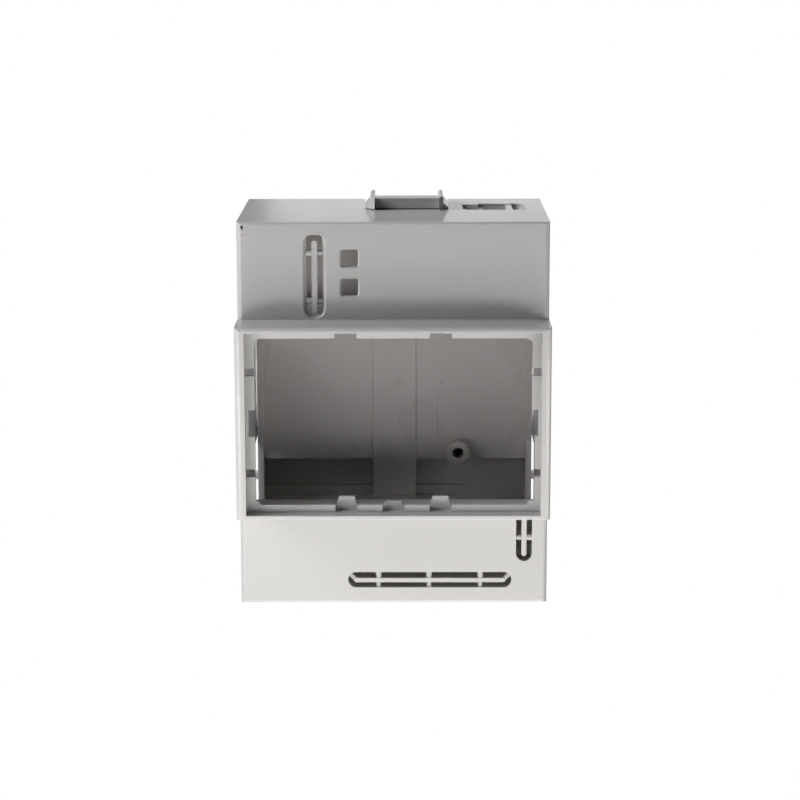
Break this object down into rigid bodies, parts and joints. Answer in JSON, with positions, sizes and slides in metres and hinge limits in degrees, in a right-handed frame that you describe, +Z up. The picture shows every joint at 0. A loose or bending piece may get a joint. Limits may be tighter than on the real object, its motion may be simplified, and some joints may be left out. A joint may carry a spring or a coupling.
{
  "type": "din rail enclosure",
  "caption": "Moulded housing with an open front window that clips on a 35 mm mounting rail by a sliding latch.",
  "frame": {"origin": "centre of the lower end, halfway through the depth", "axes": "+X to the right seen from the front, +Y to the rear (towards the rail), +Z up to the latch end"},
  "size_m": [0.0716, 0.058, 0.0928],
  "materials": {
    "housing_plastic": "fine moulded, semi-matt",
    "base_plastic": "fine moulded, semi-matt",
    "latch_plastic": "fine moulded, semi-matt"
  },
  "bodies": {
    "housing": {"front_housing": "housing_plastic", "rear_base": "base_plastic"},
    "latch": {"rail_latch": "latch_plastic"}
  },
  "joints": [
    {"name": "latch_slide", "type": "slide", "parent": "housing", "child": "latch", "axis": [0, 0, 1], "range_m": [0, 0.0035], "stiffness_N_per_m": 800}
  ]
}
